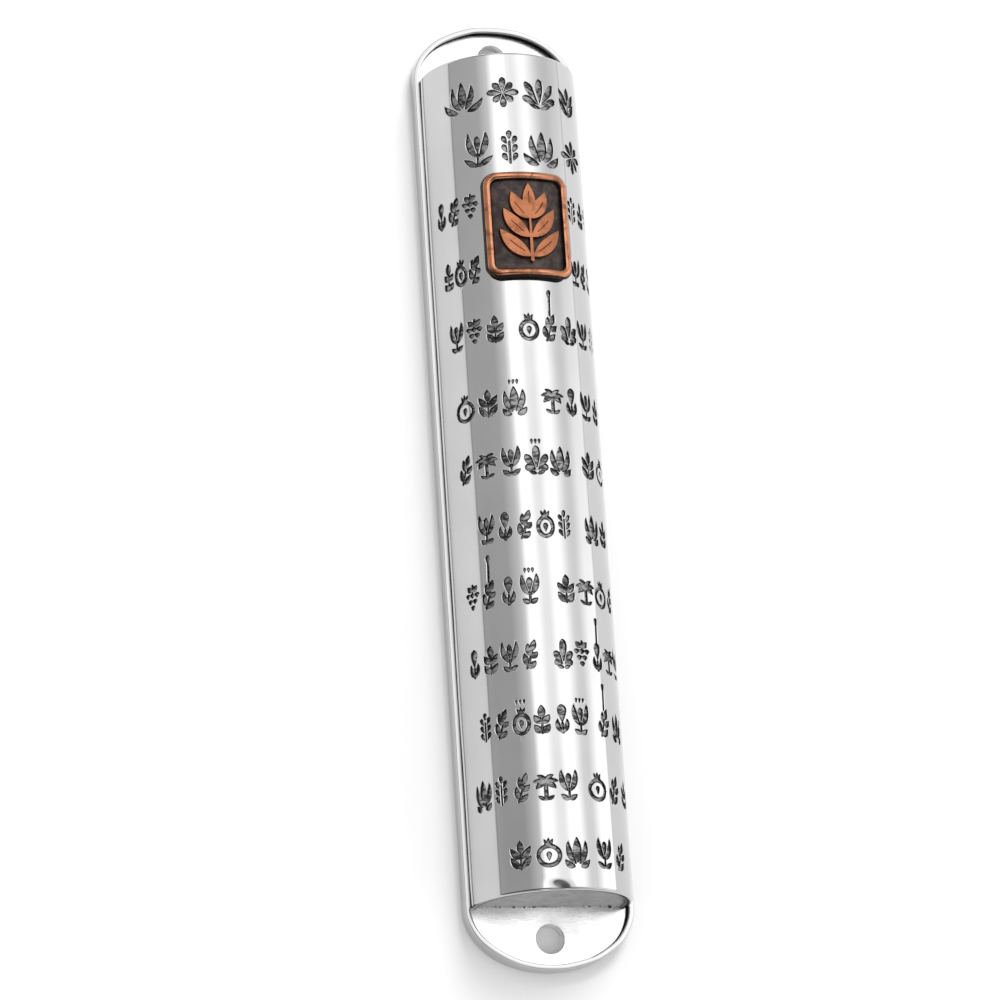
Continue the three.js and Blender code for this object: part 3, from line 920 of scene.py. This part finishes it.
def make_rim():
    """A strip bent round the floor, with a half-round upper edge that is a little uneven by hand work."""
    outer_round, outer_fall, inner_round = 0.19, 0.4, 0.1
    inner = RIM_THICK + 0.1  # plating and solder close most of the gap to the arch
    top = RIM_TOP - 0.02
    # (inset, z), up the outside and down the inside
    sections = [(0.08, 0.0), (0.0, 0.1), (0.0, 0.9), (0.0, 1.7)]
    for a in np.linspace(0, math.pi / 2, 8):
        sections.append((outer_round * (1 - math.cos(a)), top - outer_fall * (1 - math.sin(a))))
    sections.append((0.5, RIM_TOP))
    for a in np.linspace(0, math.pi / 2, 5):
        sections.append((inner - inner_round * (1 - math.sin(a)), top - inner_round * (1 - math.cos(a))))
    sections += [(inner, 2.3), (inner, FLOOR_TOP + 0.01), (RIM_THICK, FLOOR_TOP), (RIM_THICK, 0.0)]
    work = Work()
    rings = []
    for inset, z in sections:
        flat = case_outline(inset)
        sway = 0.025 * z / RIM_TOP * ripple(*flat.T, 3, 14)
        flat = flat * (1 - np.abs(sway) / HALF_WIDTH)[:, None]
        lift = np.where(z > RIM_TOP / 2, -0.03 * np.abs(ripple(flat[:, 1], flat[:, 0], 8, 20)), 0)
        rings.append(work.ring(np.column_stack([flat, np.full(len(flat), z) + lift])))
    blackened = len(rings) - 4  # the inner face, painted dark as shade down to the floor's corner
    for k, (lower, upper) in enumerate(zip(rings, rings[1:] + rings[:1])):
        work.bridge(lower, upper, 1 if k == blackened else 0)
    make_piece("tray_rim", work, [PLATE, BLACKENING_AND_SHADE], "case", ["rim_strip"], sharp=50)


# ---- end caps and the solder along their foot ----
def cap_outline(radius, foot, steps=72):
    """A half circle on two short legs, as (x, z), anticlockwise from the lower right."""
    turn = np.linspace(0, math.pi, steps + 1)
    arc = np.column_stack([radius * np.cos(turn), AXIS_Z + radius * np.sin(turn)])
    base = np.column_stack([np.linspace(-radius, radius, 41), np.full(41, foot)])
    return np.vstack([arc, base])


def make_cap(name, node, end):
    """A flat plate inside the arch's end. Its outer face is slightly uneven from filing."""
    low, high = box_mm(node)
    radius, foot = high[0], low[2]
    face, back = (high[1], low[1]) if end > 0 else (-low[1], -high[1])
    outline = cap_outline(radius, foot)
    eased = cap_outline(radius - 0.06, foot + 0.03)
    work = Work()

    def layer(flat, out):
        return np.column_stack([flat[:, 0], np.broadcast_to(end * out, len(flat)), flat[:, 1]])

    def worked(flat):
        x, z = flat.T
        uneven = 0.02 * ripple(x, z, 21, 5) + 0.006 * ripple(x, z, 22, 1.1)
        return layer(flat, face - 0.03 + uneven)

    layers = (layer(outline, back), layer(outline, face - 0.08), worked(eased))
    rings = [work.ring(points) for points in layers]
    for deep, near in zip(rings, rings[1:]):
        work.bridge(deep, near, flip=end > 0)
    inner = grid_points((-radius, foot), (radius, AXIS_Z + radius), 0.45)
    span = np.sqrt(np.maximum((radius - 0.3) ** 2 - (inner[:, 1] - AXIS_Z).clip(0) ** 2, 0))
    inner = inner[(np.abs(inner[:, 0]) < span) & (inner[:, 1] > foot + 0.25)]
    work.fill(rings[-1], axes=(0, 2), flip=end > 0, inner=inner, lift=worked)
    work.fill(rings[0], axes=(0, 2), flip=end < 0)
    make_piece(name, work, [BRUSHED], "case", [node])


def make_solder(name, end):
    """A thin lumpy seam of solder where a cap meets the tray's floor."""
    half_width, face, _ = box_mm("cap_top")[1]
    reach = half_width - 0.1
    turn = np.linspace(0, math.pi / 2, 7)
    work = Work()
    rings = []
    for x in np.linspace(-reach, reach, 181):
        swell = 0.14 + 0.07 * ripple(x, 0.0, 31, 1.4) + 0.05 * ripple(x, 3.0, 32, 0.5)
        swell = max(0.05, float(swell)) * min(1, (reach - abs(x)) / 0.6 + 0.15)
        section = [(face - 0.06 + swell * math.cos(a), FLOOR_TOP + swell * math.sin(a)) for a in turn]
        section += [(face - 0.1, FLOOR_TOP + swell), (face - 0.1, FLOOR_TOP)]
        rings.append(work.ring([(x, end * out, z) for out, z in section]))
    for near, far in zip(rings, rings[1:]):
        burnt = int(ripple(work.points[near[0]][0], 6.0, 33, 1.1) > 0.35)
        work.bridge(near, far, burnt, flip=end < 0)
    work.face(rings[0] if end < 0 else rings[0][::-1])
    work.face(rings[-1][::-1] if end < 0 else rings[-1])
    make_piece(name, work, [PLATE, BLACKENING_AND_SHADE], "case", [], sharp=60)


# ---- the emblem ----
def make_emblem_plate():
    """The dark backing plate, bent over the arch."""
    sections = [(0.3, PLATE_UNDER), (0.24, PLATE_UNDER + 0.06), (0.0, PLATE_TOP - 0.1), (0.08, PLATE_TOP)]
    work = Work()
    rings = [work.ring(over_arch(emblem_outline(inset), radius)) for inset, radius in sections]
    # the plate's sides take the near-black edge copper: oxide, and painted shade for its dark outline
    work.skin(rings, 1)
    inner = grid_points((-EMBLEM_WIDTH / 2, EMBLEM_LOW[1]), (EMBLEM_WIDTH / 2, EMBLEM_HIGH[1]), 0.4)
    inner = inner[inside(emblem_outline(0.35), inner)]
    for ring, radius, flip in ((rings[-1], PLATE_TOP, False), (rings[0], PLATE_UNDER, True)):
        rough = 0.012 if radius == PLATE_TOP else 0.0

        def lift(flat, radius=radius, rough=rough):
            lifted = over_arch(flat, radius)
            lifted[:, 2] += rough * ripple(*flat.T, 41, 1.2)
            return lifted

        work.fill(ring, inner=inner, lift=lift, flip=flip)
    materials = [DARK_COPPER, COPPER_EDGE_OXIDE_AND_SHADE]
    make_piece("emblem_ground", work, materials, "case", ["emblem_plate"])


def emblem_outline(inset):
    corner = EMBLEM_CORNER - inset * 0.75
    size = (EMBLEM_WIDTH - 2 * inset, EMBLEM_LENGTH - 2 * inset)
    return rounded_rectangle(*size, corner, EMBLEM_Y, corner_steps=14, side_steps=(24, 32))


def make_emblem_bead():
    """The raised round-topped frame."""
    turn = np.linspace(0, math.pi, 17)
    half, rise = EMBLEM_BEAD / 2, RELIEF_TOP - RELIEF_UNDER - 0.08
    sections = [(0.0, RELIEF_UNDER)]
    sections += [(half - half * math.cos(a), RELIEF_UNDER + 0.08 + rise * math.sin(a)) for a in turn]
    sections += [(EMBLEM_BEAD, RELIEF_UNDER)]
    work = Work()
    rings = []
    for inset, radius in sections:
        flat = emblem_outline(inset)
        wear = 0.015 * ripple(*flat.T, 51, 3) * (radius > RELIEF_UNDER + 0.2)
        rings.append(work.ring(over_arch(flat, radius + wear)))
    dark_side_bands = 5  # bands up each side painted dark: painted shade for the bead's dark flanks, with some oxide
    for k, (lower, upper) in enumerate(zip(rings, rings[1:])):
        work.bridge(lower, upper, 1 if k < dark_side_bands or k > len(rings) - dark_side_bands - 2 else 0)
    work.bridge(rings[-1], rings[0], 1)
    materials = [COPPER_BEAD, COPPER_EDGE_OXIDE_AND_SHADE]
    make_piece("emblem_bead", work, materials, "case", ["emblem_frame"], sharp=60)


def sprig_drawing():
    """The emblem's olive sprig, and the grooves along its leaves."""
    foot = EMBLEM_Y - 6.3
    leaves, ribs = [], []
    for rise, length, aim in ((0.9, 6.6, 1.05), (4.0, 6.3, 0.95), (7.0, 5.2, 0.8)):
        for side in (-1, 1):
            leaves.append(leaf(0.1 * side, foot + rise, side * aim, length, 2.3, -0.55 * side))
            ribs.append(leaf(0.6 * side, foot + rise + 0.5, side * aim, length * 0.66, 0.24, -0.4 * side))
    leaves.append(leaf(0, foot + 7.6, 0, 5.2, 2.15))
    ribs.append(leaf(0, foot + 9.3, 0, 2.6, 0.24))
    stalk = stroke(walk(0, foot, 0, 10.6, 0), 0.75 - 0.4 * np.linspace(0, 1, STROKE_STEPS))
    stalk[1][[0, -1]] = 0
    return [*leaves, stalk], ribs


def make_emblem_sprig():
    """The raised sprig: steep sides, a flat brushed top and grooved midribs."""
    shapes, ribs = sprig_drawing()
    rise = RELIEF_TOP - RELIEF_UNDER
    edge = 0.1  # how far in from its outline a leaf reaches its full height
    rib_slope, rib_depth = 0.08, 0.14
    rings = contours(shapes, (0.0, edge), 0.25)
    rings += contours(ribs, (0.0,), 0.3) + contours(ribs, (rib_slope,), 0.3)
    flat = np.vstack(rings)
    inner = grid_points(flat.min(axis=0), flat.max(axis=0), 0.45)
    inner = inner[stroke_depth(shapes, inner) > edge + 0.08]
    inner = inner[stroke_depth(ribs, inner) < -0.1]
    places, triangles, _ = plane_mesh(np.vstack([flat, inner]), ring_edges(rings))
    middles = places[triangles].mean(axis=1)
    triangles = triangles[stroke_depth(shapes, middles) > 0.0]
    depth = stroke_depth(shapes, places)
    top = RELIEF_UNDER + rise * (0.12 + 0.88 * np.clip(depth / edge, 0, 1) ** 0.7)
    top -= rib_depth * np.clip(stroke_depth(ribs, places) / rib_slope, 0, 1)
    top += 0.012 * ripple(*places.T, 61, 2.0)
    work = Work()
    upper = work.ring(over_arch(places, np.maximum(top, RELIEF_UNDER + 0.05)))
    lower = work.ring(over_arch(places, RELIEF_UNDER))
    sides = {}
    for a, b, c in triangles:
        work.face([upper[a], upper[b], upper[c]])
        work.face([lower[c], lower[b], lower[a]])
        sides.update(dict.fromkeys([(a, b), (b, c), (c, a)]))
    for a, b in sides:
        if (b, a) not in sides:  # a side on the outline, with a triangle on one side only
            work.face([upper[b], upper[a], lower[a], lower[b]])
    make_piece("emblem_olive_sprig", work, [COPPER_FLAT], "case", ["emblem_sprig"], sharp=30)


def make_stud(name, node):
    """A cast stud, cropped and filed round at its end inside the arch."""
    low, high = box_mm(node)
    y = middle_mm(node)[1]
    radius = high[0]
    sections = [(0.35, 0), (0.55, 0.04), (0.7, 0.14), (1, 0.34), (0.97, 0.9), (1, 1.4)]
    work = Work()
    rings = [work.ring(at_height(circle(radius * wide, 0, y, 32), low[2] + up)) for wide, up in sections]
    rings.append(work.ring(at_height(circle(radius, 0, y, 32), high[2])))
    work.skin(rings)
    work.face(rings[0][::-1])
    work.face(rings[-1])
    make_piece(name, work, [COPPER_FLAT], "case", [node])


def make_washer(name, node):
    """A push-on washer with six teeth that bite the stud, dished away from the arch."""
    low, high = box_mm(node)
    y = middle_mm(node)[1]
    outer_r, thick = high[0], high[2] - low[2]
    teeth, dish = 6, 0.16
    turn = np.linspace(0, 2 * math.pi, 96, endpoint=False)
    toothed = np.where(np.cos(teeth * turn) > -0.55, 0.82, 1.22)

    def band(radius, z):
        radius = np.broadcast_to(radius, turn.shape)
        fall = dish * (1 - (radius - 0.8) / (outer_r - 0.8))
        return np.column_stack([radius * np.cos(turn), y + radius * np.sin(turn), z - fall])

    top, under = high[2], high[2] - thick
    root = 1.35
    eased_r = outer_r - 0.05
    sections = [(eased_r, under), (outer_r, under + 0.06), (outer_r, top - 0.06), (eased_r, top)]
    sections += [(root, top), (toothed, top), (toothed, under), (root, under)]
    work = Work()
    work.skin([work.ring(band(radius, z)) for radius, z in sections], closed=True)
    make_piece(name, work, [STEEL], "case", [node])


# ---- back lid ----
def make_lid():
    """The press-in lid: a flange that lies in the rebate, a raised middle, and springy ears."""
    low, high = box_mm("back_lid")
    skin, step, gap = 0.55, 0.5, 0.3
    flange, plug = ([side - gap for side in size] for size in (REBATE, OPENING))
    steps = dict(corner_steps=8, side_steps=(8, 40))
    work = Work()
    top = skin + step
    sections = [(flange, 0.1, 0), (flange, 0.03, 0.03), (flange, 0, 0.1), (flange, 0, skin - 0.08)]
    sections += [(flange, 0.07, skin), (plug, 0, skin), (plug, 0, top - 0.1), (plug, 0.1, top)]
    rings = []
    for (width, length), inset, up in sections:
        flat = rounded_rectangle(width - 2 * inset, length - 2 * inset, OPENING_CORNER - inset, **steps)
        rings.append(work.ring(at_height(flat, low[2] + up)))
    work.skin(rings)
    work.fill(rings[0], flip=True)
    work.fill(rings[-1])
    for y in (-47, -21, 21, 47):
        for side in (-1, 1):
            add_ear(work, side, y, low[2] + skin + step, high[2], plug[0] / 2)
    make_piece("press_in_lid", work, [LONG_BRUSHED], "lid", ["back_lid"])


def add_ear(work, side, y, foot, top, outside):
    """A bent tongue with a swelling that presses on the opening's edge."""
    length, thick = 6.0, 0.36
    rise = np.linspace(0, 1, 15)
    swelling = np.exp(-((rise - 0.55) / 0.22) ** 2)
    outer_x = outside - 0.22 + 0.22 * swelling - 0.12 * rise
    narrowing = 1 - 0.16 * np.clip((rise - 0.8) / 0.2, 0, 1) ** 2
    rings = []
    for x, share, narrow in zip(outer_x, rise, narrowing):
        z = foot - 0.05 + share * (top - foot + 0.05)
        half = length / 2 * narrow
        corners = [(x - thick, -half), (x, -half), (x, half), (x - thick, half)]
        rings.append(work.ring([(side * cx, y + cy, z) for cx, cy in corners]))
    if side < 0:
        rings = [ring[::-1] for ring in rings]
    work.skin(rings)
    work.face(rings[0][::-1])
    work.face(rings[-1])


# ---- sleeve and parchment ----
def tube_ring(radius, y, z, steps=72):
    turn = np.linspace(0, 2 * math.pi, steps, endpoint=False)
    return np.column_stack([radius * np.sin(turn), np.full(steps, y), z + radius * np.cos(turn)])


def make_sleeve():
    """A thin clear tube, a little out of round, with heat-eased lips."""
    radius, half, _ = box_mm("scroll_sleeve")[1]
    z = middle_mm("scroll_sleeve")[2]
    wall = 0.3
    stations = np.linspace(-half + 0.1, half - 0.1, 27)
    sections = [(radius - 0.03 + 0.02 * float(ripple(y, 0.0, 71, 30)), y) for y in stations]
    sections += [(radius - 0.05, half), (radius - wall + 0.06, half)]
    sections += [(radius - wall, y) for y in stations[::-1]]
    sections += [(radius - wall + 0.06, -half), (radius - 0.05, -half)]
    work = Work()
    rings = [work.ring(tube_ring(r, y, z)) for r, y in sections]
    work.skin(rings, closed=True)
    make_piece("clear_sleeve", work, [FILM], "scroll", ["scroll_sleeve"], sharp=50)


def make_parchment():
    """A sheet rolled five turns, its ends a little telescoped and its edges a little wavy."""
    half_width, half, _ = box_mm("parchment_roll")[1]
    z = middle_mm("scroll_sleeve")[2]
    outer_r, core_r, sheet, turns = half_width - 0.03, 1.7, 0.3, 5
    steps = turns * 60
    share = np.linspace(0, 1, steps + 1)
    radius = core_r + (outer_r - core_r - sheet) * share
    angle = 2 * math.pi * turns * share
    uneven = 0.035 * ripple(angle, 0.0 * angle, 81, 4)
    shrink = 0.5 + 0.45 * np.sin(share * 2.6) + 0.1 * ripple(angle, share, 82, 3)
    work = Work()
    layers = []
    along = np.linspace(-1, 1, 21)
    for lift in (sheet, 0):
        rows = []
        for place in along:
            r = radius + lift + uneven * (0.6 + 0.4 * place) - 0.03
            end = (half - 0.9 + shrink * 0.8) * place
            rows.append(work.ring(np.column_stack([r * np.cos(angle), end, z + r * np.sin(angle)])))
        layers.append(rows)
    outer, inner = layers
    for i in range(len(along) - 1):
        for j in range(steps):
            work.face([outer[i][j], outer[i + 1][j], outer[i + 1][j + 1], outer[i][j + 1]])
            work.face([inner[i][j], inner[i][j + 1], inner[i + 1][j + 1], inner[i + 1][j]])
        for j, flip in ((0, True), (steps, False)):
            edge = [outer[i][j], outer[i + 1][j], inner[i + 1][j], inner[i][j]]
            work.face(edge[::-1] if flip else edge)
    for i, flip in ((0, False), (len(along) - 1, True)):
        for j in range(steps):
            edge = [outer[i][j], outer[i][j + 1], inner[i][j + 1], inner[i][j]]
            work.face(edge[::-1] if flip else edge)
    make_piece("rolled_parchment", work, [SKIN], "scroll", ["parchment_roll"], sharp=50)


# ---- stage ----
def make_stage():
    """A pale matt surface, open under the lid and clear from below, so that the back and inside are lit."""
    size, drop_mm = 3000, 0.02
    corners = [(-size, -size), (size, -size), (size, size), (-size, size)]
    work = Work()
    outer = work.ring(at_height(np.array(corners), 0))
    hole = work.ring(at_height(rounded_rectangle(*REBATE, OPENING_CORNER, corner_steps=4), 0))
    work.fill(outer, [hole])
    n = Surface("stage_white")
    n.finish((0.9, 0.9, 0.9), 0.9, metallic=0.0)
    clear = n.add("ShaderNodeBsdfTransparent")
    below = n.add("ShaderNodeNewGeometry").outputs["Backfacing"]
    touching = n.math("LESS_THAN", n.add("ShaderNodeLightPath").outputs["Ray Length"], 0.3 * MM)
    mix = n.add("ShaderNodeMixShader")
    n.put(mix.inputs["Fac"], n.math("MAXIMUM", below, touching))  # clear to what rests on it, too
    n.put(mix.inputs[1], n.shader.outputs["BSDF"])
    n.put(mix.inputs[2], clear.outputs["BSDF"])
    n.put(n.tree.nodes["Material Output"].inputs["Surface"], mix.outputs["Shader"])
    floor = new_object("stage_floor", new_mesh("stage_floor", work, [n.material]))
    floor.location.z = -drop_mm * MM


# Softboxes that the polished arch mirrors: angle from overhead towards +X, in degrees, and brightness.
NEAR_SIDE = [(-90, 0.55), (-75, 0.5), (-45, 0.5), (-25, 0.85), (-18, 1.9), (-8, 1.8), (2, 1.4), (10, 1.4),
             (20, 1.95), (30, 1.95), (45, 1.15), (55, 1.15), (70, 1.95), (90, 2.0)]
FAR_SIDE = [(-90, 0.6), (-45, 0.65), (-30, 1.0), (-20, 2.0), (-10, 2.1), (0, 1.55), (8, 1.45), (25, 1.9),
            (40, 1.35), (50, 1.0), (60, 0.9), (75, 1.0), (90, 1.15)]
LEVEL_SIDE = [(-90, 0.55), (-56, 0.5), (-30, 0.75), (-19, 1.6), (-6, 1.35), (10, 1.15), (29, 1.6), (46, 0.95),
              (62, 0.85), (75, 0.95), (90, 0.8)]
DARK_SIDE = [(-90, 0.12), (-30, 0.06), (-5, 0.14), (6, 0.5), (30, 0.65), (45, 1.1), (90, 1.4)]
END_SIDE = [(-90, 0.55), (-62, 0.45), (-40, 0.35), (-24, 0.9), (-8, 1.0), (6, 0.55), (24, 0.45), (42, 0.85),
            (60, 0.6), (90, 0.65)]
# Each side takes over from the one before between these two values of a ray's +Y part, from END_SIDE on.
SIDES = [
    (-0.62, -0.45, DARK_SIDE, "SMOOTHSTEP"),
    (-0.16, 0.0, LEVEL_SIDE, "SMOOTHSTEP"),
    (0.03, 0.12, NEAR_SIDE, "LINEAR"),
    (0.21, 0.37, FAR_SIDE, "LINEAR"),
    (0.6, 0.75, END_SIDE, "LINEAR"),
]
HORIZON = (-0.05, 0.05)  # the +Z part of a ray over which the light from below gives way
BRIGHTEST = 2.5
FROM_BELOW = 0.5  # how much of the softboxes' brightness shines from below the floor
OPEN_SKY = 0.88  # what matt surfaces are lit by, and the backdrop


def make_world():
    """Studio light all round: long softboxes along the case, and a dark side where a camera would stand."""
    world = bpy.data.worlds.new("studio")
    bpy.context.scene.world = world
    n = Nodes(world, "Generated")
    split = n.add("ShaderNodeSeparateXYZ")
    n.put(split.inputs[0], n.place)
    x, y, z = split.outputs
    angle = n.math("ARCTAN2", x, n.math("ABSOLUTE", z))
    share = n.math("MULTIPLY_ADD", angle, 1 / math.pi, 0.5)
    color = n.ramp(share, END_SIDE)
    for low, high, stops, easing in SIDES:
        color = n.mix(n.spread(y, low, high, easing=easing), color, n.ramp(share, stops))
    dimmed = n.add("ShaderNodeVectorMath", operation="SCALE")
    n.put(dimmed.inputs[0], color)
    n.put(dimmed.inputs["Scale"], n.spread(z, *HORIZON, FROM_BELOW, 1.0, easing="LINEAR"))
    mirrored_ray = n.add("ShaderNodeLightPath").outputs["Is Glossy Ray"]
    sky = (OPEN_SKY / BRIGHTEST,) * 3
    background = n.tree.nodes["Background"]
    n.put(background.inputs["Strength"], BRIGHTEST)
    n.put(background.inputs["Color"], n.mix(mirrored_ray, sky, dimmed.outputs["Vector"]))


def make_lamp(name, place, size, energy):
    """A soft disk aimed at the case. It lights the floor and isn't seen, by the camera or in the metal."""
    lamp = bpy.data.lights.new(name, "AREA")
    lamp.shape = "DISK"
    lamp.size = size
    lamp.energy = energy
    holder = new_object(name, lamp)
    holder.location = place
    holder.rotation_euler = Vector(place).to_track_quat("Z", "Y").to_euler()
    holder.visible_glossy = False
    holder.visible_camera = False


def make_camera():
    """Above the case, looking along +Y and a little to the right, turned slightly anticlockwise."""
    target = Vector((-5.13, -4.15, 8.0)) * MM
    place = Vector((-193.5, -208.39, 665.72)) * MM
    roll = math.radians(-3.77)
    camera = new_object("camera", bpy.data.cameras.new("camera"))
    camera.data.lens = 170.85
    camera.data.sensor_width = 36
    camera.data.clip_start, camera.data.clip_end = 0.01, 20
    back = (place - target).normalized()
    level = Vector((0, 1, 0)).cross(back).normalized()
    upward = back.cross(level)
    right = level * math.cos(roll) + upward * math.sin(roll)
    up = back.cross(right)
    turned = Matrix((right, up, back)).transposed().to_4x4()
    camera.matrix_world = Matrix.Translation(place) @ turned
    bpy.context.scene.camera = camera


make_arch()
make_tray_floor()
make_rim()
for name, end in (("top", 1), ("bottom", -1)):
    make_cap(f"end_cap_{name}", f"cap_{name}", end)
    make_solder(f"solder_seam_{name}", end)
    make_stud(f"stud_{name}", f"emblem_stud_{name}")
    make_washer(f"push_on_washer_{name}", f"stud_washer_{name}")
make_emblem_plate()
make_emblem_bead()
make_emblem_sprig()
make_lid()
make_sleeve()
make_parchment()

make_stage()
make_world()
make_lamp("fill", (0.2, 0.55, 0.6), 0.35, 3.6)
make_camera()
bpy.context.scene.view_settings.view_transform = "Standard"
